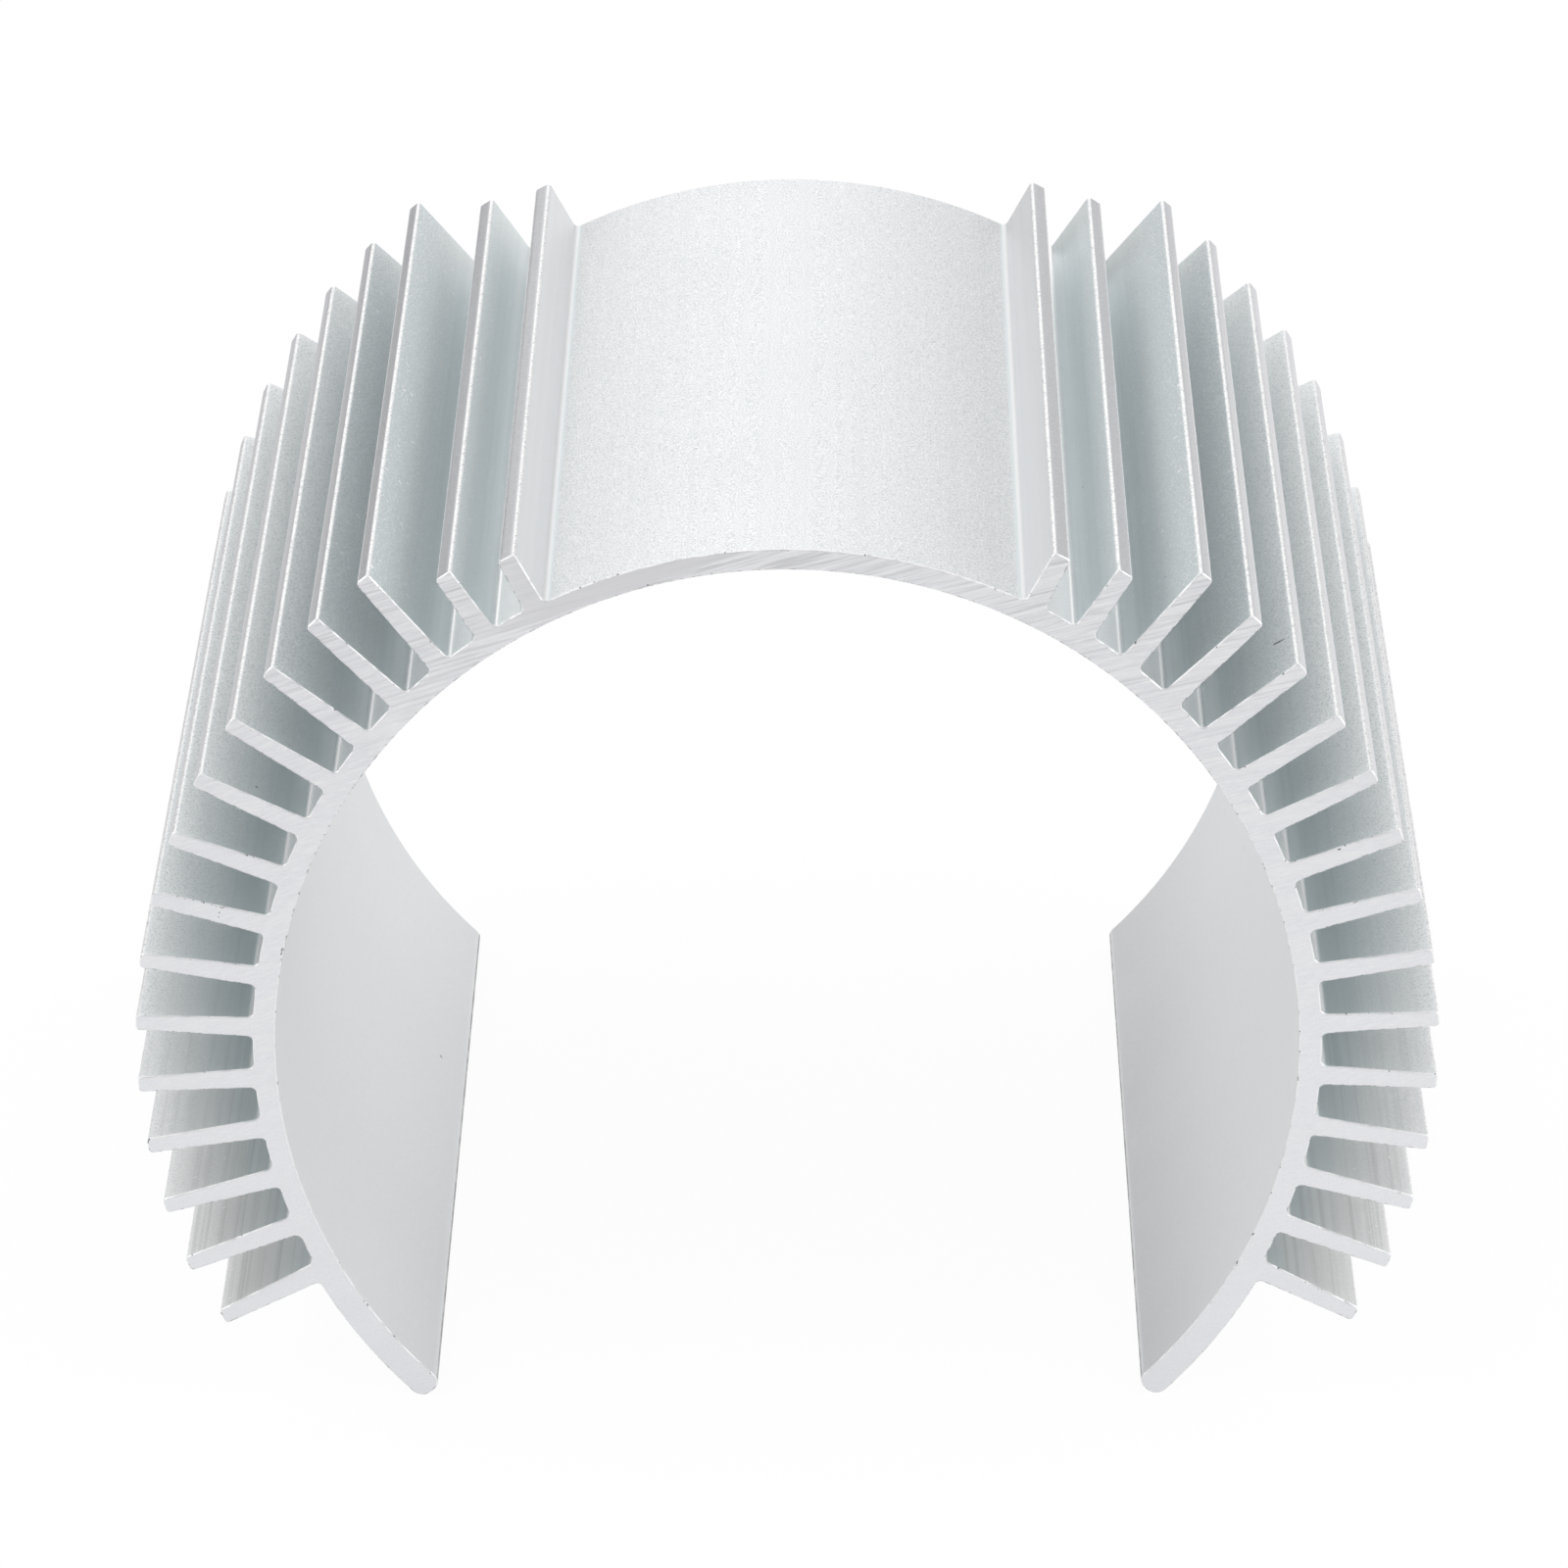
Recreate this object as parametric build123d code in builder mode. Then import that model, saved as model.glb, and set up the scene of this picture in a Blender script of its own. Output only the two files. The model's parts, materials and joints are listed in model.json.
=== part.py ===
from build123d import *
from math import atan2, degrees, floor, hypot, radians, sin
import os

# Heat sink for a round motor body: one aluminium extrusion, sawn to length.
# The bore lies along Y, the bare crown is on top and the open mouth faces down.
# Sizes are in millimetres. Angles are in degrees from straight up, alike on both sides.

length = 100.0
bore_radius = 45.0

# Walls outside the bore
crown_wall = 1.9
gap_wall = 2.0
leg_wall = 2.5

# Places round the ring. The last fin leaves at least the bare leg angle below it
first_fin_angle = 27.4
fin_pitch = 6.0
bare_leg_angle = 18.5
leg_end_angle = 136.4

# Fins taper from root to tip. Heights are above the floor of the gaps
fin_root_thickness = 1.9
fin_tip_thickness = 1.4
fin_height = 10.3
first_fin_height = 5.0
second_fin_height = 6.4
last_fin_height = 9.8

# Roundings left by the die
fin_root_round = 0.5
fin_tip_round = 0.35
leg_outer_round = 1.2
leg_inner_round = 0.9

# Outer faces and the row of fins on one side
crown_radius = bore_radius + crown_wall
gap_radius = bore_radius + gap_wall
leg_radius = bore_radius + leg_wall
finned_angle = leg_end_angle - bare_leg_angle - first_fin_angle
fins_per_side = 1 + floor(finned_angle / fin_pitch)
last_fin_angle = first_fin_angle + (fins_per_side - 1) * fin_pitch

# Each rounding stays inside the gap or the thickness that it is cut from
gap_floor_width = 2 * gap_radius * sin(radians(fin_pitch / 2)) - fin_root_thickness
root_rounding = min(fin_root_round, 0.4 * gap_floor_width)
tip_rounding = min(fin_tip_round, 0.4 * fin_tip_thickness)
outer_rounding = min(leg_outer_round, 0.5 * leg_wall)
inner_rounding = min(leg_inner_round, 0.4 * leg_wall)


# Stretch of wall between two angles
def wall_sector(outer_radius, start_angle, end_angle):
    sweep = start_angle - end_angle
    with BuildLine() as outline:
        inner = CenterArc((0, 0), bore_radius, 90 - start_angle, sweep)
        outer = CenterArc((0, 0), outer_radius, 90 - start_angle, sweep)
        Line(inner @ 0, outer @ 0)
        Line(inner @ 1, outer @ 1)
    make_face(outline.edges())


# Tapered radial fin, rooted in the middle of the wall below the gap floor
def fin(angle, height):
    taper = (fin_root_thickness - fin_tip_thickness) / fin_height
    sunk_depth = gap_wall / 2
    half_foot = (fin_root_thickness + taper * sunk_depth) / 2
    half_tip = (fin_root_thickness - taper * height) / 2
    with Locations(Location((0, 0, 0), (0, 0, 90 - angle))):
        Polygon(
            (gap_radius - sunk_depth, -half_foot),
            (gap_radius + height, -half_tip),
            (gap_radius + height, half_tip),
            (gap_radius - sunk_depth, half_foot),
            align=None,
        )


def reach(corner):
    return hypot(corner.X, corner.Y)


def angle_from_top(corner):
    return degrees(atan2(corner.X, corner.Y))


# Corner of the section where a fin meets the crown, a gap floor or a bare leg
def is_fin_root(corner):
    on_wall = crown_radius - 0.01 < reach(corner) < leg_radius + 0.01
    return on_wall and 0.1 < angle_from_top(corner) < last_fin_angle + bare_leg_angle / 2


def is_fin_tip(corner):
    return reach(corner) > gap_radius + first_fin_height / 2


def is_leg_end(corner):
    return angle_from_top(corner) > leg_end_angle - 0.01


fin_heights = [fin_height] * fins_per_side
fin_heights[0] = first_fin_height
fin_heights[1] = second_fin_height
fin_heights[-1] = last_fin_height

with BuildPart() as heat_sink:
    with BuildSketch(Plane.XZ) as section:
        wall_sector(crown_radius, 0, first_fin_angle)
        wall_sector(gap_radius, first_fin_angle, last_fin_angle)
        wall_sector(leg_radius, last_fin_angle, leg_end_angle)
        for index, height in enumerate(fin_heights):
            fin(first_fin_angle + index * fin_pitch, height)

        fillet(vertices().filter_by(is_fin_root), root_rounding)
        fillet(vertices().filter_by(is_fin_tip), tip_rounding)
        fillet(vertices().filter_by(is_leg_end).sort_by(reach)[-1], outer_rounding)
        fillet(vertices().filter_by(is_leg_end).sort_by(reach)[0], inner_rounding)
        mirror(about=Plane.YZ)
    extrude(amount=length / 2, both=True)

heat_sink.part.label = "heat_sink"

os.makedirs("parts", exist_ok=True)
export_step(heat_sink.part, "parts/heat_sink.step")
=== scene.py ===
import json
import random
from math import asin, atan2, ceil, cos, degrees, hypot, pi, radians, sin

import bmesh
import bpy
from mathutils import Matrix, Vector


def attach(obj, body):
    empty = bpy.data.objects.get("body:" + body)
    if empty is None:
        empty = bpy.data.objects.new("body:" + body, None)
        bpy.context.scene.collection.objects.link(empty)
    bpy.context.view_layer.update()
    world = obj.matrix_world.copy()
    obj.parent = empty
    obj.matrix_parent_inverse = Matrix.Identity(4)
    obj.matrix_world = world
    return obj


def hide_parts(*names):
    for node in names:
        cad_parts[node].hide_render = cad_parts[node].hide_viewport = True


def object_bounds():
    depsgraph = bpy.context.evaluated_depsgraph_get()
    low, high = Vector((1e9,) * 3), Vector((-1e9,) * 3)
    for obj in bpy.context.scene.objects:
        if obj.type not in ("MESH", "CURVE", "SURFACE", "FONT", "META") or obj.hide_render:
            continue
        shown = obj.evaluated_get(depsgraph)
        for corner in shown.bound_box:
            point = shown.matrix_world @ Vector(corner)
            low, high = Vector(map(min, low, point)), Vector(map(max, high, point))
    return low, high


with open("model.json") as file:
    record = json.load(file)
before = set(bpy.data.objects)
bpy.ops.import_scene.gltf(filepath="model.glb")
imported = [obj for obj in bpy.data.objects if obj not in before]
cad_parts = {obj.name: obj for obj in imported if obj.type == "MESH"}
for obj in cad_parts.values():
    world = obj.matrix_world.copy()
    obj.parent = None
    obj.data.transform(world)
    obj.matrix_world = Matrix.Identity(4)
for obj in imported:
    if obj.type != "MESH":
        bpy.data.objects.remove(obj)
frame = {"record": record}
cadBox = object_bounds()
cadLow, cadHigh = cadBox
mm = 0.001
print("frame loaded, the solid is", [round(side / mm, 1) for side in cadHigh - cadLow], "mm")


# Helpers for edit mode. Every pick starts from nothing selected

def deselectAll():
    if bpy.context.mode != "OBJECT":
        bpy.ops.object.mode_set(mode="OBJECT")
    bpy.ops.object.select_all(action="DESELECT")


def selectOnly(piece):
    deselectAll()
    piece.select_set(True)
    bpy.context.view_layer.objects.active = piece


def startEditing(piece):
    selectOnly(piece)
    bpy.ops.object.mode_set(mode="EDIT")


def pick(piece, kind, wanted):
    bpy.ops.mesh.select_mode(type=kind)
    bpy.ops.mesh.select_all(action="DESELECT")
    mesh = bmesh.from_edit_mesh(piece.data)
    parts = {"VERT": mesh.verts, "EDGE": mesh.edges, "FACE": mesh.faces}[kind]
    found = [part for part in parts if wanted(part)]
    for part in found:
        part.select_set(True)
    mesh.select_flush_mode()
    bmesh.update_edit_mesh(piece.data)
    return len(found)


# Places are told by their reach from the axis of the bore and their angle from the top, in degrees

def reachOf(place):
    return hypot(place.x, place.z)


def angleOf(place):
    return degrees(atan2(place.x, place.z))


def outwards(angle):
    return Vector((sin(radians(angle)), 0, cos(radians(angle))))


# The extrusion: half of its section is drawn, mirrored and drawn out along the bore

extrusion = {
    "crownWall": 1.9 * mm,
    "gapWall": 2.0 * mm,
    "legWall": 2.5 * mm,
    "legEnd": 136.4,  # angles are degrees from the top
    "firstFin": 27.4,
    "finPitch": 6.0,
    "finCount": 16,
    "finHeight": 10.3 * mm,
    "lowFins": [5.0 * mm, 6.4 * mm],
    "lastFin": 9.8 * mm,
    "finRoot": 1.9 * mm,
    "finTip": 1.4 * mm,
    "rootRound": 0.5 * mm,
    "tipRound": 0.35 * mm,
    "legOuterRound": 1.2 * mm,
    "legInnerRound": 0.9 * mm,
    "roundSteps": 5,
    "wallStep": 1.5,  # degrees
    "longestEdge": 0.32 * mm,
}

boreRadius = frame["record"]["mounts"][0]["dims"]["r_mm"] * mm
halfLength = cadHigh.y
crownRadius = min(boreRadius + extrusion["crownWall"], cadHigh.z)
gapRadius = boreRadius + extrusion["gapWall"]
legRadius = boreRadius + extrusion["legWall"]
halfRoot = degrees(asin(extrusion["finRoot"] / 2 / gapRadius))
finAngles = [extrusion["firstFin"] + i * extrusion["finPitch"] for i in range(extrusion["finCount"])]
finHeights = [extrusion["finHeight"]] * extrusion["finCount"]
finHeights[:2] = extrusion["lowFins"]
finHeights[-1] = extrusion["lastFin"]

samePlace = 0.001 * mm  # closer than this counts as the same place
onSurface = 0.05 * mm  # and closer than this as on the wall
chordDepth = 0.03 * mm  # how far inside its arc a subdivided point may lie
nearAngle = 0.1
legMargin = 0.5  # degrees before the leg's end that keep the shape of its rounding


def isOuter(vertex):  # on the outside of the wall or on a fin
    return reachOf(vertex.co) > boreRadius + extrusion["crownWall"] / 2


def outerRadius(angle):
    if angle < finAngles[0]:
        return crownRadius
    return gapRadius if angle < finAngles[-1] else legRadius


def sweepWall(piece, fromAngle, toAngle, radius, underFin=False):
    # the selected radial edge goes round the bore and leaves a stretch of wall behind it
    oldCount = len(bmesh.from_edit_mesh(piece.data).verts)
    steps = 1 if underFin else ceil((toAngle - fromAngle) / extrusion["wallStep"])
    bpy.ops.mesh.spin(steps=steps, angle=radians(fromAngle - toAngle), center=(0, 0, 0), axis=(0, 1, 0))
    mesh = bmesh.from_edit_mesh(piece.data)
    for vertex in list(mesh.verts)[oldCount:]:
        if isOuter(vertex):
            place = outwards(angleOf(vertex.co)) * radius
            vertex.co.x, vertex.co.z = place.x, place.z
    bmesh.update_edit_mesh(piece.data)


def isUnderFin(vertex, angle):
    return isOuter(vertex) and abs(angleOf(vertex.co) - angle) < halfRoot + nearAngle


def pullFin(piece, angle, height):
    pick(piece, "EDGE", lambda edge: all(isUnderFin(vertex, angle) for vertex in edge.verts))
    way = outwards(angle)
    bpy.ops.mesh.extrude_region_move(TRANSFORM_OT_translate={"value": way * height})
    taper = (extrusion["finRoot"] - extrusion["finTip"]) / extrusion["finHeight"]
    halfTip = (extrusion["finRoot"] - taper * height) / 2
    across = Vector((way.z, 0, -way.x))
    mesh = bmesh.from_edit_mesh(piece.data)
    for vertex in mesh.verts:
        if vertex.select:
            side = 1 if vertex.co.dot(across) > 0 else -1
            place = way * (gapRadius + height) + across * side * halfTip
            vertex.co.x, vertex.co.z = place.x, place.z
    bmesh.update_edit_mesh(piece.data)


def roundOff(piece, radius, wanted):
    pick(piece, "VERT", wanted)
    bpy.ops.mesh.bevel(offset=radius, segments=extrusion["roundSteps"], affect="VERTICES", profile=0.5)


def isFinRoot(vertex):
    reach, angle = reachOf(vertex.co), angleOf(vertex.co)
    onWall = crownRadius - onSurface < reach < legRadius + onSurface
    return onWall and any(abs(abs(angle - fin) - halfRoot) < nearAngle for fin in finAngles)


def isFinTip(vertex):
    return reachOf(vertex.co) > gapRadius + min(finHeights) / 2


def isLegEnd(vertex):
    return angleOf(vertex.co) > extrusion["legEnd"] - nearAngle


def trueArcs(piece):
    # points that the subdivision left on a chord go out to their arc
    mesh = bmesh.from_edit_mesh(piece.data)
    for vertex in mesh.verts:
        reach, angle = reachOf(vertex.co), angleOf(vertex.co)
        for radius in (boreRadius, outerRadius(angle)):
            if abs(reach - radius) < chordDepth and angle < extrusion["legEnd"] - legMargin:
                vertex.co.x, vertex.co.z = vertex.co.x * radius / reach, vertex.co.z * radius / reach
    bmesh.update_edit_mesh(piece.data)


def isLongEdge(edge):  # the cut in the middle stays whole
    return edge.calc_length() > extrusion["longestEdge"] and any(v.co.x > samePlace for v in edge.verts)


def drawHalfSection():
    wall = extrusion["crownWall"]
    bpy.ops.mesh.primitive_plane_add(size=wall, location=(-wall / 2, -halfLength, boreRadius + wall / 2),
                                     rotation=(pi / 2, 0, 0))
    piece = bpy.context.active_object
    piece.name = piece.data.name = "motorHeatSink"
    bpy.ops.object.transform_apply(location=True, rotation=True, scale=True)
    startEditing(piece)
    pick(piece, "VERT", lambda vertex: vertex.co.x < -wall / 2)
    bpy.ops.mesh.delete(type="VERT")
    bpy.ops.mesh.select_all(action="SELECT")

    angle, radius = 0, crownRadius
    for number, fin in enumerate(finAngles):
        sweepWall(piece, angle, fin - halfRoot, radius)
        radius = legRadius if number == extrusion["finCount"] - 1 else gapRadius
        sweepWall(piece, fin - halfRoot, fin + halfRoot, radius, underFin=True)
        angle = fin + halfRoot
    sweepWall(piece, angle, extrusion["legEnd"], radius)
    for fin, height in zip(finAngles, finHeights):
        pullFin(piece, fin, height)
    bpy.ops.mesh.select_all(action="SELECT")
    bpy.ops.mesh.dissolve_faces()

    roundOff(piece, extrusion["rootRound"], isFinRoot)
    roundOff(piece, extrusion["tipRound"], isFinTip)
    roundOff(piece, extrusion["legOuterRound"], lambda vertex: isLegEnd(vertex) and isOuter(vertex))
    roundOff(piece, extrusion["legInnerRound"], lambda vertex: isLegEnd(vertex) and not isOuter(vertex))
    while pick(piece, "EDGE", isLongEdge):
        bpy.ops.mesh.subdivide(number_cuts=1)
    trueArcs(piece)
    return piece


def mirrorHalf(piece):
    selectOnly(piece)
    bpy.ops.object.modifier_add(type="MIRROR")
    mirror = piece.modifiers[-1]
    mirror.use_axis = (True, False, False)
    mirror.merge_threshold = 5 * samePlace
    bpy.ops.object.modifier_apply(modifier=mirror.name)


deselectAll()
heatSink = drawHalfSection()
mirrorHalf(heatSink)
print("section drawn:", len(heatSink.data.vertices), "points,", len(heatSink.data.polygons), "faces")

startEditing(heatSink)
bpy.ops.mesh.select_all(action="SELECT")
bpy.ops.mesh.dissolve_faces()
bpy.ops.mesh.extrude_region_move(TRANSFORM_OT_translate={"value": (0, 2 * halfLength, 0)})
bpy.ops.mesh.select_all(action="SELECT")
bpy.ops.mesh.normals_make_consistent(inside=False)
print("drawn out:", len(bmesh.from_edit_mesh(heatSink.data).faces), "faces")


# The saw leaves a narrow torn edge round both ends

sawnEdge = {
    "width": 0.12 * mm,
    "steps": 2,
    "tear": 0.045 * mm,
    "seed": 7,
    "smoothAngle": 34,
}

slopeStart = halfLength - 0.9 * sawnEdge["width"]  # what lies nearer an end is on the torn slope


def isEnd(face):  # looks along the bore
    return abs(face.normal.y) > 0.99


def isSlope(face):
    return halfLength / 2 < abs(face.calc_center_median().y) < halfLength - samePlace


def isRim(edge):  # between an end and the faces along the bore
    return len(edge.link_faces) == 2 and isEnd(edge.link_faces[0]) != isEnd(edge.link_faces[1])


def tearEdges(piece):
    pick(piece, "EDGE", isRim)
    bpy.ops.mesh.bevel(offset=sawnEdge["width"], segments=sawnEdge["steps"], profile=0.5, affect="EDGES")
    pick(piece, "FACE", isSlope)
    bpy.ops.mesh.region_to_loop()
    bpy.ops.mesh.mark_sharp()  # so that the narrow slope doesn't bend the shading of the long faces
    mesh = bmesh.from_edit_mesh(piece.data)
    chance = random.Random(sawnEdge["seed"])
    for vertex in mesh.verts:
        if slopeStart < abs(vertex.co.y) < halfLength - samePlace:
            inwards = -1 if vertex.co.y > 0 else 1
            vertex.co.y += inwards * chance.random() ** 2 * sawnEdge["tear"]
    bmesh.update_edit_mesh(piece.data)


tearEdges(heatSink)
selectOnly(heatSink)
bpy.ops.object.shade_smooth_by_angle(angle=radians(sawnEdge["smoothAngle"]))
print("ends torn:", len(heatSink.data.vertices), "points,", len(heatSink.data.polygons), "faces")


# Node trees of the materials and the room, with short ways to add and join nodes

class NodeTree:
    def __init__(self, owner):
        owner.use_nodes = True
        self.tree = owner.node_tree

    def join(self, source, target):
        self.tree.links.new(source, target)

    def node(self, kind, **settings):
        made = self.tree.nodes.new("ShaderNode" + kind)
        for name, value in settings.items():
            setattr(made, name, value)
        return made

    def coordinates(self, kind):
        return self.node("TexCoord").outputs[kind]

    def apart(self, vector):
        made = self.node("SeparateXYZ")
        self.join(vector, made.inputs[0])
        return made.outputs

    def math(self, operation, first, second=None):
        made = self.node("Math", operation=operation)
        for socket, value in zip(made.inputs, (first, second)):
            if isinstance(value, (int, float)):
                socket.default_value = value
            elif value is not None:
                self.join(value, socket)
        return made.outputs[0]

    def vectorMath(self, operation, vector, other=(0, 0, 0)):
        made = self.node("VectorMath", operation=operation)
        self.join(vector, made.inputs[0])
        made.inputs[1].default_value = other
        return made.outputs["Vector" if operation == "MULTIPLY" else "Value"]

    def ramp(self, source, low, high, fromLow=0, fromHigh=1, shape="LINEAR"):
        made = self.node("MapRange", clamp=True, interpolation_type=shape)
        for name, value in (("From Min", fromLow), ("From Max", fromHigh), ("To Min", low), ("To Max", high)):
            made.inputs[name].default_value = value
        self.join(source, made.inputs["Value"])
        return made.outputs["Result"]

    def above(self, source, span, share=1):  # nothing below the span, and the share above it
        return self.ramp(source, 0, share, *span)

    def below(self, source, span, share=1):  # the share below the span, and nothing above it
        return self.ramp(source, share, 0, *span)


# Materials. Patterns are laid out in object metres, so a scale of 4000 is a grain of a quarter millimetre.
# A noise lies mostly between 0.3 and 0.7, and the spans in the looks are levels of it

marks = {  # surface: place in mm, radius in mm, shade
    "crown": [
        ((-8.0, -23.11, 46.2), 0.16, 0.3),
        ((-16.79, -13.93, 43.77), 0.14, 0.4),
        ((19.24, 26.65, 42.76), 0.13, 0.4),
        ((17.40, 14.27, 43.53), 0.12, 0.45),
        ((20.44, -28.07, 42.21), 0.14, 0.3),
    ],
    "flank": [
        ((24.97, -9.05, 39.94), 0.14, 0.35),
        ((26.42, -21.08, 41.70), 0.14, 0.3),
        ((33.43, -35.75, 41.94), 0.12, 0.3),
        ((33.02, -42.86, 41.47), 0.12, 0.3),
        ((42.58, -42.33, 34.96), 0.14, 0.1),
        ((42.75, -42.42, 35.08), 0.25, 0.05),
        ((43.00, -42.55, 35.27), 0.25, 0.05),
        ((43.25, -42.68, 35.46), 0.2, 0.06),
        ((43.45, -42.78, 35.62), 0.12, 0.15),
        ((-46.11, -47.69, 24.02), 0.18, 0.15),
    ],
    "bore": [
        ((-43.98, -49.6, 9.62), 0.5, 0.08),
        ((-33.77, 14.54, -29.75), 0.22, 0.25),
        ((43.44, 22.81, -11.74), 0.14, 0.4),
    ],
    "end": [
        ((-44.02, -50.0, 9.50), 0.3, 0.08),
        ((-44.12, -50.0, 9.15), 0.24, 0.08),
        ((-49.30, -50.0, 13.72), 0.28, 0.1),
        ((-49.75, -50.0, 13.84), 0.24, 0.12),
        ((-49.55, -50.0, 13.1), 0.12, 0.4),
        ((-49.62, -50.0, 12.7), 0.1, 0.45),
        ((-11.75, -50.0, 43.65), 0.12, 0.3),
        ((48.15, -50.0, 18.85), 0.2, 0.1),
    ],
}

markLook = {
    "cover": 0.9,
    "fade": (0.7, 1.2),  # from and to, as shares of the radius
    "ragged": 0.5,  # share of the radius that the outline wanders
    "wander": 6000,
}


class Recipe(NodeTree):
    # a metal finish, painted layer over layer on the look's colour
    def __init__(self, name, look):
        self.material = bpy.data.materials.new(name)
        super().__init__(self.material)
        self.look = look
        self.colour = look["colour"]
        self.place = self.coordinates("Object")

    def stretched(self, scale, move=(0, 0, 0)):
        made = self.node("Mapping")
        made.inputs["Scale"].default_value = scale
        made.inputs["Location"].default_value = move
        self.join(self.place, made.inputs["Vector"])
        return made.outputs["Vector"]

    def noise(self, scale, detail, roughness=0.5, where=None):
        made = self.node("TexNoise")
        made.inputs["Scale"].default_value = scale
        made.inputs["Detail"].default_value = detail
        made.inputs["Roughness"].default_value = roughness
        self.join(where or self.place, made.inputs["Vector"])
        return made.outputs["Fac"]

    def lines(self, scale, detail, roughness=0.5, along=0.004):  # noise drawn out along the bore
        return self.noise(scale, detail, roughness, self.stretched((1, along, 1)))

    def paint(self, colour, *masks):
        # lays a colour over the last one where all the masks are high
        mask = masks[0]
        for other in masks[1:]:
            mask = self.math("MULTIPLY", mask, other)
        made = self.node("Mix", data_type="RGBA")
        under, over = made.inputs[6:8]  # the node's two colours come after its numbers and vectors
        self.join(mask, made.inputs["Factor"])
        over.default_value = (*colour, 1)
        if isinstance(self.colour, tuple):
            under.default_value = (*self.colour, 1)
        else:
            self.join(self.colour, under)
        self.colour = made.outputs[2]

    def mark(self, surface):
        # small blemishes that the photographed part has
        for place, radius, shade in marks[surface]:
            size = radius * mm
            away = self.vectorMath("DISTANCE", self.place, [c * mm for c in place])
            wander = self.noise(markLook["wander"], detail=1)
            away = self.math("ADD", away, self.math("MULTIPLY", wander, markLook["ragged"] * size))
            fade = [share * size for share in markLook["fade"]]
            self.paint((shade, shade, shade), self.below(away, fade, markLook["cover"]))

    def finish(self, rough, relief, roughSpan=(0.3, 0.7)):
        # rough and relief are the patterns that the roughness and the bump follow
        bump = self.node("Bump")
        bump.inputs["Strength"].default_value = self.look["bump"]
        bump.inputs["Distance"].default_value = self.look["bumpDepth"]
        self.join(relief, bump.inputs["Height"])
        sockets = self.tree.nodes["Principled BSDF"].inputs
        sockets["Metallic"].default_value = 1
        self.join(self.colour, sockets["Base Color"])
        self.join(self.ramp(rough, *self.look["roughness"], *roughSpan), sockets["Roughness"])
        self.join(bump.outputs["Normal"], sockets["Normal"])
        return self.material


skinLook = {  # the crown and the outside of the legs, evenly blasted and anodised
    "colour": (0.838, 0.855, 0.863),
    "darkGrain": (0.665, 0.69, 0.70),
    "darkBelow": (0.36, 0.48),
    "paleGrain": (0.98, 0.988, 0.993),
    "paleAbove": (0.52, 0.62),
    "grain": 7000,
    "clouds": 45,
    "dieLines": 2600,
    "linesAbove": (0.45, 0.75),
    "lineShare": 0.12,
    "lineRelief": 0.2,
    "roughness": (0.46, 0.52),
    "bump": 0.36,
    "bumpDepth": 0.03 * mm,
}


def blastedSkin():
    look = skinLook
    mix = Recipe("blastedSkin", look)
    grain = mix.noise(look["grain"], detail=1)
    lines = mix.lines(look["dieLines"], detail=2)
    mix.paint(look["darkGrain"], mix.below(grain, look["darkBelow"]))
    mix.paint(look["paleGrain"], mix.above(grain, look["paleAbove"]))
    mix.paint(look["darkGrain"], mix.above(lines, look["linesAbove"], look["lineShare"]))
    mix.mark("crown")
    relief = mix.math("ADD", grain, mix.math("MULTIPLY", lines, look["lineRelief"]))
    return mix.finish(mix.noise(look["clouds"], detail=3), relief)


flankLook = {  # the blast reaches the outer part of the fins, and the gaps keep the streaks of the die
    "colour": (0.87, 0.92, 0.928),
    "tipColour": (0.93, 0.945, 0.95),
    "blastSpan": (49 * mm, 56.5 * mm),
    "streak": (0.72, 0.785, 0.795),
    "streaks": 2400,
    "streaksAbove": (0.47, 0.7),
    "streakShare": 0.42,
    "lowColour": (0.90, 0.899, 0.898),
    "lowSpan": (-22 * mm, 12 * mm),  # the lowest fins are lined out to their tips
    "lowFrom": (0, 0.6),  # levels of the blast
    # painted shade: the outer parts of the upper fins are darker towards the top
    "topPaintedShade": (0.69, 0.745, 0.762),
    "topSpan": (34 * mm, 44 * mm),
    "topFrom": (0.3, 0.8),
    "drawnLines": 1500,
    "drawnLength": 0.003,
    "darkLine": (0.62, 0.63, 0.63),
    "darkLinesAbove": (0.5, 0.66),
    "darkLineShare": 0.6,
    "paleLinesBelow": (0.32, 0.47),
    "paleLineShare": 0.5,
    "leastBlast": 0.15,  # share of the grain at the roots, and of the streaks at the tips
    "lowGrain": 0.35,
    "darkGrain": (0.68, 0.72, 0.73),
    "darkBelow": (0.36, 0.5),
    "darkShare": 0.9,
    "paleGrain": (0.97, 0.98, 0.985),
    "paleAbove": (0.52, 0.66),
    "grain": 5000,
    "glint": (1.0, 1.0, 1.0),
    "glints": 1500,
    "glintsAbove": (0.80, 0.83),
    "roughness": (0.42, 0.62),
    "bump": 0.36,
    "bumpDepth": 0.03 * mm,
}


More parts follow.
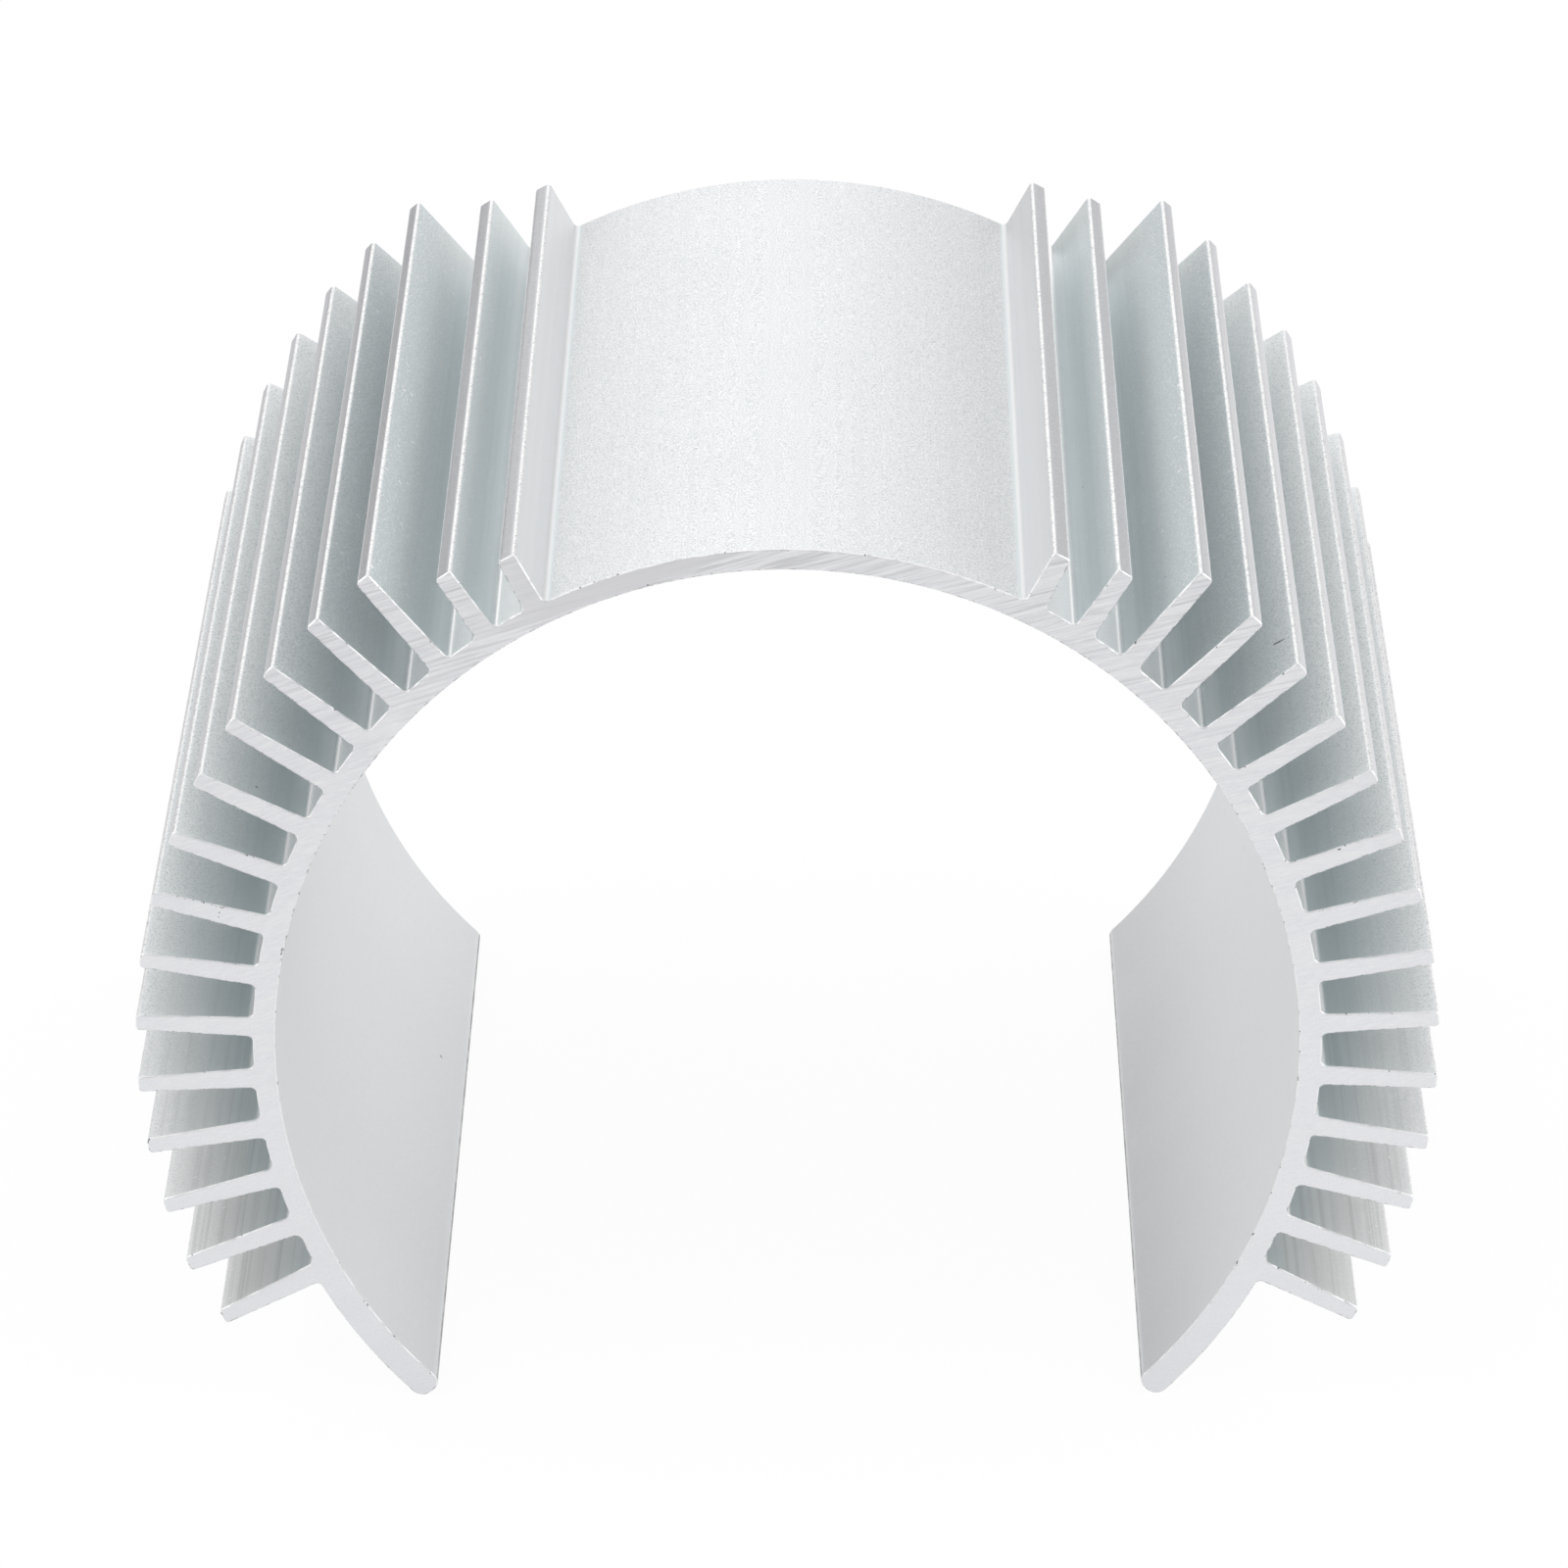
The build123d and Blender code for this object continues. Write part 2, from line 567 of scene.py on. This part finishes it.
def finFlank():
    look = flankLook
    mix = Recipe("finFlank", look)
    height = mix.apart(mix.place)[2]
    low, top = mix.below(height, look["lowSpan"]), mix.above(height, look["topSpan"])
    blast = mix.above(mix.vectorMath("LENGTH", mix.stretched((1, 0, 1))), look["blastSpan"])
    smooth = mix.math("SUBTRACT", 1, blast)
    grain = mix.noise(look["grain"], detail=2, roughness=0.6)
    streaks = mix.lines(look["streaks"], detail=3, roughness=0.7)
    drawn = mix.lines(look["drawnLines"], detail=4, roughness=0.75, along=look["drawnLength"])
    mix.paint(look["tipColour"], blast)
    mix.paint(look["streak"], mix.above(streaks, look["streaksAbove"], look["streakShare"]),
              mix.ramp(smooth, look["leastBlast"], 1))
    mix.paint(look["lowColour"], low, mix.above(blast, look["lowFrom"]))
    # painted shade, darker on the upper fins' outer parts
    mix.paint(look["topPaintedShade"], top, mix.above(blast, look["topFrom"]))
    mix.paint(look["darkLine"], low, mix.above(drawn, look["darkLinesAbove"], look["darkLineShare"]))
    mix.paint(look["paleGrain"], low, mix.below(drawn, look["paleLinesBelow"], look["paleLineShare"]))
    blasted = mix.math("MULTIPLY", mix.ramp(blast, look["leastBlast"], 1), mix.ramp(low, 1, look["lowGrain"]))
    mix.paint(look["darkGrain"], mix.below(grain, look["darkBelow"], look["darkShare"]), blasted)
    mix.paint(look["paleGrain"], mix.above(grain, look["paleAbove"]), blasted)
    # painted glints: white specks in the colour
    mix.paint(look["glint"], mix.above(mix.noise(look["glints"], detail=0), look["glintsAbove"]))
    mix.mark("flank")
    relief = mix.math("ADD", mix.math("MULTIPLY", grain, blast), mix.math("MULTIPLY", streaks, smooth))
    return mix.finish(blast, relief, roughSpan=(0, 1))


firstLook = {  # the first fins' sides towards the crown, plain and a little duller
    "colour": (0.835, 0.842, 0.857),
    "darkGrain": (0.80, 0.808, 0.822),
    "darkBelow": (0.85, 1.15),  # levels of the grain and the lines together
    "grain": 3000,
    "dieLines": 1500,
    "roughness": (0.44, 0.52),
    "bump": 0.08,
    "bumpDepth": 0.02 * mm,
}


def plainFlank():
    look = firstLook
    mix = Recipe("plainFlank", look)
    grain = mix.noise(look["grain"], detail=3, roughness=0.6)
    lines = mix.lines(look["dieLines"], detail=3, roughness=0.6)
    mix.paint(look["darkGrain"], mix.below(mix.math("ADD", grain, lines), look["darkBelow"]))
    return mix.finish(grain, grain)


def evenGrain(name, look):
    mix = Recipe(name, look)
    grain = mix.noise(look["grain"], look["grainDetail"], roughness=0.6)
    mix.paint(look["darkGrain"], mix.below(grain, look["darkBelow"]))
    return mix.finish(grain, grain)


edgeHighlightLook = {  # the fins' long corners, painted near white as a painted highlight
    "colour": (0.99, 0.99, 0.99),
    "darkGrain": (0.68, 0.69, 0.71),
    "darkBelow": (0.36, 0.5),
    "grain": 4000,
    "grainDetail": 2,
    "roughness": (0.42, 0.5),
    "bump": 0.2,
    "bumpDepth": 0.03 * mm,
}


def highlightEdge():
    return evenGrain("highlightEdge", edgeHighlightLook)


landLook = {  # the narrow lands on the fins' tips, rubbed smoother than the rest
    "colour": (0.775, 0.78, 0.803),
    "darkGrain": (0.67, 0.676, 0.70),
    "darkBelow": (0.35, 0.6),
    "grain": 3600,
    "grainDetail": 3,
    "roughness": (0.30, 0.38),
    "bump": 0.12,
    "bumpDepth": 0.03 * mm,
}


def tipLand():
    return evenGrain("tipLand", landLook)


gapLook = {  # the gaps' floors and the roundings beside them, drawn smooth by the die
    "colour": (0.96, 0.957, 0.962),
    "darkGrain": (0.90, 0.90, 0.905),
    "darkBelow": (0.35, 0.6),
    "grain": 3000,
    "grainDetail": 3,
    "roughness": (0.30, 0.36),
    "bump": 0.06,
    "bumpDepth": 0.02 * mm,
}


def gapFloor():
    return evenGrain("gapFloor", gapLook)


boreLook = {  # drawn smooth by the die's core, with a much finer grain, and worn dark along the legs' ends
    "colour": (0.915, 0.921, 0.931),
    "darkGrain": (0.875, 0.882, 0.894),
    "darkBelow": (0.8, 1.2),  # levels of the grain and the clouds together
    "grain": 2600,
    "clouds": 30,
    "legEdge": (0.38, 0.38, 0.39),
    "chips": 900,
    "chipLength": 0.45,
    "chipSpan": (0.42, 0.6),
    "chipShares": (1, 0.45),
    "roughness": (0.40, 0.48),
    "bump": 0.06,
    "bumpDepth": 0.02 * mm,
}


def smoothBore(name="smoothBore", worn=False):
    look = boreLook
    mix = Recipe(name, look)
    grain = mix.noise(look["grain"], detail=3, roughness=0.6)
    clouds = mix.noise(look["clouds"], detail=3)
    mix.paint(look["darkGrain"], mix.below(mix.math("ADD", grain, clouds), look["darkBelow"]))
    if worn:
        chips = mix.lines(look["chips"], detail=4, roughness=0.75, along=look["chipLength"])
        mix.paint(look["legEdge"], mix.ramp(chips, *look["chipShares"], *look["chipSpan"]))
    mix.mark("bore")
    return mix.finish(clouds, grain)


endLook = {  # bare metal left by the saw, whose marks rise to the right on wide arcs
    "colour": (0.89, 0.895, 0.922),
    "darkGrain": (0.80, 0.805, 0.832),
    "darkBelow": (0.38, 0.55),
    "darkShare": 0.45,
    "paleGrain": (0.985, 0.987, 0.995),
    "grain": 5200,
    "sawCentre": (200 * mm, 0, -670 * mm),
    "markLength": 0.12,  # how slowly the marks change along their arcs
    "biteSpan": (-25 * mm, 25 * mm),  # the saw bites deepest near the crown
    "leastBite": 0.2,
    "sawLines": 5600,
    "sawLineShare": 0.65,
    "sawLinesAbove": (0.5, 0.68),
    "sawLinesBelow": (0.32, 0.46),
    "sawRelief": 0.7,
    "bands": 380,
    "bandShare": 0.45,
    "bandsAbove": (0.5, 0.62),
    "bandsBelow": (0.36, 0.46),
    "crownSpan": (22 * mm, 44 * mm),
    "crownShade": 0.2,
    "fineLines": 3300,
    "fineLength": 0.25,
    "groove": (0.56, 0.56, 0.575),
    "groovesAbove": (0.52, 0.64),
    "grooveShare": 0.5,
    "ridgesBelow": (0.36, 0.46),
    "ridgeShare": 0.7,
    "oldCut": (0.78, 0.78, 0.797),  # the saw's second pass took nothing above a line that rises to the right
    "oldCutShare": 0.85,
    "cutFrom": (-11.75 * mm, 0, 43.65 * mm),
    "cutRise": 0.354,
    "cutBlur": 0.12 * mm,
    "cutEnds": (-30 * mm, -20 * mm),
    "roughness": (0.44, 0.56),
    "roughSpan": (0.35, 0.65),
    "bump": 0.25,
    "bumpDepth": 0.03 * mm,
}

tornLook = {  # the narrow slope round the ends: dashes of painted highlight where it faces up, and where it faces down fewer of them and grey flecks of painted shade; the dark flecks on the upper slope are burrs
    "shine": (0.98, 0.98, 0.99),
    "dashes": 1100,
    "dashesAbove": (0.36, 0.44),
    "flecks": 1500,
    "fleckMove": (0.3, 0, 0.7),
    "tornEdgeHighlit": {"shineShare": 1, "burrAndShade": (0.22, 0.22, 0.23), "burrAndShadeAbove": (0.63, 0.66)},
    "tornEdgeShaded": {"shineShare": 0.25, "burrAndShade": (0.50, 0.50, 0.51), "burrAndShadeAbove": (0.52, 0.6)},
}


def sawArcs(mix):
    # coordinates across and along the saw's arcs
    centre = Vector(mix.look["sawCentre"])
    fromSaw = mix.apart(mix.stretched((1, 1, 1), -centre))
    squares = [mix.math("POWER", fromSaw[axis], 2) for axis in (0, 2)]
    made = mix.node("CombineXYZ")
    mix.join(mix.math("SQRT", mix.math("ADD", *squares)), made.inputs[0])
    turn = mix.math("ARCTAN2", fromSaw[2], fromSaw[0])
    mix.join(mix.math("MULTIPLY", turn, reachOf(centre) * mix.look["markLength"]), made.inputs[1])
    return made.outputs[0]


def paintSawMarks(mix):
    look = mix.look
    across, _, height = mix.apart(mix.place)
    arcs = sawArcs(mix)
    grain = mix.noise(look["grain"], detail=3, roughness=0.65)
    sawLines = mix.noise(look["sawLines"], detail=3, roughness=0.65, where=arcs)
    bands = mix.noise(look["bands"], detail=2, roughness=0.6, where=arcs)
    fineArcs = mix.vectorMath("MULTIPLY", arcs, (1, look["fineLength"], 1))
    fine = mix.noise(look["fineLines"], detail=2, roughness=0.7, where=fineArcs)
    bite = mix.ramp(height, look["leastBite"], 1, *look["biteSpan"])
    nearCrown = mix.above(height, look["crownSpan"])

    mix.paint(look["darkGrain"], mix.below(grain, look["darkBelow"], look["darkShare"]))
    # painted shade: the end face darker towards the crown
    mix.paint(look["darkGrain"], mix.ramp(nearCrown, 0, look["crownShade"]))
    mix.paint(look["darkGrain"], bite, mix.above(sawLines, look["sawLinesAbove"], look["sawLineShare"]))
    mix.paint(look["paleGrain"], bite, mix.below(sawLines, look["sawLinesBelow"], look["sawLineShare"]))
    mix.paint(look["paleGrain"], bite, mix.above(bands, look["bandsAbove"], look["bandShare"]))
    mix.paint(look["darkGrain"], bite, mix.below(bands, look["bandsBelow"], look["bandShare"]))
    mix.paint(look["groove"], nearCrown, mix.above(fine, look["groovesAbove"], look["grooveShare"]))
    mix.paint(look["paleGrain"], nearCrown, mix.below(fine, look["ridgesBelow"], look["ridgeShare"]))

    line = mix.math("SUBTRACT", height, mix.math("MULTIPLY", across, look["cutRise"]))
    cutX, _, cutZ = look["cutFrom"]
    edge = cutZ - look["cutRise"] * cutX
    mix.paint(look["oldCut"], mix.above(line, (edge, edge + look["cutBlur"]), look["oldCutShare"]),
              mix.above(across, look["cutEnds"]))
    return bands, mix.math("ADD", grain, mix.math("MULTIPLY", sawLines, look["sawRelief"]))


def sawnEnd():
    mix = Recipe("sawnEnd", endLook)
    bands, relief = paintSawMarks(mix)
    mix.mark("end")
    return mix.finish(bands, relief, endLook["roughSpan"])


def tornEdge(name):
    look, kind = tornLook, tornLook[name]
    mix = Recipe(name, endLook)
    bands, relief = paintSawMarks(mix)
    dashes = mix.noise(look["dashes"], detail=2, roughness=0.6)
    moved = mix.stretched((1, 1, 1), look["fleckMove"])
    flecks = mix.noise(look["flecks"], detail=3, roughness=0.7, where=moved)
    # painted highlight in dashes, then flecks: burrs on the upper slope, painted shade on the lower one
    mix.paint(look["shine"], mix.above(dashes, look["dashesAbove"], kind["shineShare"]))
    mix.paint(kind["burrAndShade"], mix.above(flecks, kind["burrAndShadeAbove"]))
    return mix.finish(bands, relief, endLook["roughSpan"])


# Which finish a face gets, by its place and by how far it looks outwards: 1 is straight out

sorting = {
    "landLooks": 0.97,
    "tipEdgeLooks": 0.4,
    "gapLooks": 0.25,
    "legEndLooks": 0.2,
    "darkSlopeUp": -0.15,  # a slope that looks up less than this gets the painted shade
    "finsFrom": 6 * mm,  # above the bore
    "wallFrom": 1 * mm,
    "gapDepth": 0.6 * mm,
    "surface": 0.02 * mm,
    "besideRoot": 0.9,  # degrees
    "pastLastFin": 2,
    "wornFrom": 0.8,  # degrees before the leg's end, in the bore
    "legEndFrom": 1.5,  # and outside it
}


def finishOf(face):
    centre, normal = face.center, face.normal
    reach, angle = reachOf(centre), abs(angleOf(centre))
    outward = (normal.x * centre.x + normal.z * centre.z) / reach
    firstRoot = finAngles[0] - halfRoot - sorting["besideRoot"]
    lastRoot = finAngles[-1] + halfRoot + sorting["besideRoot"]
    if isEnd(face):
        return "end"
    if abs(centre.y) > slopeStart:
        return "tornShaded" if normal.z < sorting["darkSlopeUp"] else "tornHighlit"
    if reach < boreRadius + sorting["surface"]:
        return "legEdge" if angle > extrusion["legEnd"] - sorting["wornFrom"] else "bore"
    if angle > extrusion["legEnd"] - sorting["legEndFrom"] and outward < sorting["legEndLooks"]:
        return "legEdge"
    if reach > boreRadius + sorting["finsFrom"] and outward > sorting["tipEdgeLooks"]:
        return "land" if outward > sorting["landLooks"] else "tipEdge"
    if firstRoot < angle < finAngles[0] and reach > crownRadius + sorting["surface"]:
        return "plainFlank"
    inGap = finAngles[0] < angle < finAngles[-1] + sorting["pastLastFin"]
    if inGap and outward > sorting["gapLooks"] and reach < gapRadius + sorting["gapDepth"]:
        return "gap"
    if firstRoot < angle < lastRoot and reach > boreRadius + sorting["wallFrom"]:
        return "flank"
    return "skin"


def dressFaces(piece):
    finishes = {
        "skin": blastedSkin(),
        "flank": finFlank(),
        "plainFlank": plainFlank(),
        "tipEdge": highlightEdge(),
        "land": tipLand(),
        "gap": gapFloor(),
        "bore": smoothBore(),
        "legEdge": smoothBore("wornLegEdge", worn=True),
        "end": sawnEnd(),
        "tornHighlit": tornEdge("tornEdgeHighlit"),
        "tornShaded": tornEdge("tornEdgeShaded"),
    }
    for material in finishes.values():
        piece.data.materials.append(material)
    numbers = {name: number for number, name in enumerate(finishes)}
    for face in piece.data.polygons:
        face.material_index = numbers[finishOf(face)]


dressFaces(heatSink)
deselectAll()
print("materials laid:", [slot.name for slot in heatSink.material_slots])

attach(heatSink, "root")
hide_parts("heat_sink")


# Floor, lamps and surroundings

studio = {
    "floorSize": 6,
    "floorGlow": 0.95,  # share of the floor's white that shadows do not reach
    # how white the floor is in the metal, by distance in front of (-) and behind the part
    "floorWhites": [(-0.40, 0.62), (-0.26, 1.0), (-0.12, 1.0), (-0.05, 0.9), (0.0, 1.0), (0.3, 1.0)],
    # patch: place across and along, radius, change
    "floorPatches": {
        "behindLeft": (-0.12, 0.30, 0.38, -0.42),
        "farLeft": (-0.9, 1.8, 1.4, -0.5),
        # a painted shadow of the part under its arch, which only the metal sees
        "shadowUnderArch": (0, 0.01, 0.12, -0.15),
    },
    "roomLight": 0.9,
    "white": 1.0,
    "metalWhite": 0.86,  # how white the room is in the metal, but for the soft patches
    # patch: azimuth from the back, elevation, half width in degrees, change
    "patches": {
        "backGlow": (-5, 23, 30, 0.36),
        "backLeftShade": (-25, -1, 21, -0.60),
        "crownLeftShade": (-26, 20, 20, -0.22),
        "backRightShade": (24, 22, 21, -0.42),
        "leftShade": (-90, -8, 45, -0.5),
        "frontShade": (180, 10, 75, -0.40),
    },
    # lamp: azimuth from the back, elevation, distance, side, strength as a share of white
    "lamps": {
        "topPanel": (0, 85, 0.7, 0.62, 0.2),
        "leftPanel": (-86, 35, 0.8, 0.5, 1.1),
        "rightPanel": (86, 28, 0.8, 0.55, 1.05),
        "leftRimLight": (-112, 36, 0.8, 0.4, 0.75),
        "rightRimLight": (112, 34, 0.8, 0.4, 0.75),
    },
}


class StageTree(NodeTree):
    # the floor and the room, which are plain white for the camera and shaded for the metal
    def fadeIn(self, level, source, begins, ends, change):
        return self.math("ADD", self.ramp(source, 0, change, begins, ends, "SMOOTHSTEP"), level)

    def show(self, matt, shown, level, glow, output):
        # level is the white that the metal sees, and glow the share of it that no shadow reaches
        rays = self.node("LightPath").outputs
        mirrored = self.math("MAXIMUM", rays["Is Glossy Ray"], rays["Is Transmission Ray"])
        seen = self.math("MAXIMUM", rays["Is Camera Ray"], mirrored)
        white = self.node("Mix")
        self.join(rays["Is Camera Ray"], white.inputs["Factor"])
        self.join(level, white.inputs["A"])
        white.inputs["B"].default_value = studio["white"]
        self.join(white.outputs["Result"], shown.inputs["Strength"])
        both = self.node("MixShader")
        self.join(self.math("MULTIPLY", seen, glow), both.inputs[0])
        self.join(matt.outputs[0], both.inputs[1])
        self.join(shown.outputs[0], both.inputs[2])
        self.join(both.outputs[0], self.tree.nodes[output].inputs["Surface"])


def towards(azimuth, elevation):
    level = cos(radians(elevation))
    return Vector((sin(radians(azimuth)) * level, cos(radians(azimuth)) * level, sin(radians(elevation))))


def shadeFloor(material):
    floor = StageTree(material)
    floor.tree.nodes.remove(floor.tree.nodes["Principled BSDF"])
    place = floor.coordinates("Object")
    rampMiddle = 0.5  # a colour ramp runs from 0 to 1, so it covers half a metre on both sides
    whites = floor.node("ValToRGB")
    stops = whites.color_ramp.elements
    while len(stops) < len(studio["floorWhites"]):
        stops.new(rampMiddle)
    for stop, (reach, level) in zip(stops, studio["floorWhites"]):
        stop.position, stop.color = reach + rampMiddle, (level, level, level, 1)
    floor.join(floor.math("ADD", floor.apart(place)[1], rampMiddle), whites.inputs[0])
    level = whites.outputs[0]
    for across, along, radius, change in studio["floorPatches"].values():
        away = floor.vectorMath("DISTANCE", place, (across, along, cadLow.z))
        level = floor.fadeIn(level, away, radius, 0, change)
    matt, glow = floor.node("BsdfDiffuse"), floor.node("Emission")
    matt.inputs["Color"].default_value = (1, 1, 1, 1)
    floor.show(matt, glow, level, studio["floorGlow"], "Material Output")


def layFloor():
    deselectAll()
    bpy.ops.mesh.primitive_plane_add(size=studio["floorSize"], location=(0, 0, cadLow.z))
    floor = bpy.context.active_object
    floor.name = "paleFloor"
    bpy.ops.object.transform_apply(location=True)
    material = bpy.data.materials.new("paleFloor")
    shadeFloor(material)
    floor.data.materials.append(material)


def lightRoom():
    world = bpy.data.worlds.new("softRoom")
    bpy.context.scene.world = world
    room = StageTree(world)
    light, shown = room.tree.nodes["Background"], room.node("Background")
    for background in (light, shown):
        background.inputs["Color"].default_value = (1, 1, 1, 1)
    light.inputs["Strength"].default_value = studio["roomLight"]
    sky = room.coordinates("Generated")
    level = studio["metalWhite"]
    for azimuth, elevation, halfWidth, change in studio["patches"].values():
        near = room.vectorMath("DOT_PRODUCT", sky, towards(azimuth, elevation))
        level = room.fadeIn(level, near, cos(radians(halfWidth)), 1, change)
    room.show(light, shown, level, 1, "World Output")


def hangLamps():
    for name, (azimuth, elevation, distance, side, strength) in studio["lamps"].items():
        deselectAll()
        way = towards(azimuth, elevation)
        turn = way.to_track_quat("Z", "Y").to_euler()
        bpy.ops.object.light_add(type="AREA", location=way * distance, rotation=turn)
        lamp = bpy.context.active_object
        lamp.name = lamp.data.name = name
        lamp.data.size = side
        lamp.data.energy = strength * pi * side ** 2
        lamp.visible_camera = False


layFloor()
lightRoom()
hangLamps()
print("studio lit with", len(studio["lamps"]), "lamps")


# Camera, solved from the bore's two circles and the crown's edges

view = {
    "lens": 202.287,
    "sensor": 36,
    "clip": (0.05, 20),
    "azimuth": 0.481,
    "elevation": 22.440,
    "roll": -0.356,
    "distance": 819.06 * mm,
    "target": (-0.554 * mm, 0, 4.448 * mm),
}


def turned(angle, axis):
    return Matrix.Rotation(radians(angle), 4, axis)


def setCamera():
    data = bpy.data.cameras.new("productView")
    camera = bpy.data.objects.new("productView", data)
    bpy.context.scene.collection.objects.link(camera)
    data.lens = view["lens"]
    data.sensor_width = view["sensor"]
    data.clip_start, data.clip_end = view["clip"]
    turn = turned(view["azimuth"], "Z") @ turned(90 - view["elevation"], "X")
    back = turn.to_3x3() @ Vector((0, 0, 1))
    place = Vector(view["target"]) + back * view["distance"]
    camera.matrix_world = Matrix.Translation(place) @ turn @ turned(view["roll"], "Z")
    bpy.context.scene.camera = camera


setCamera()
bpy.context.scene.view_settings.view_transform = "Standard"
print("camera set")
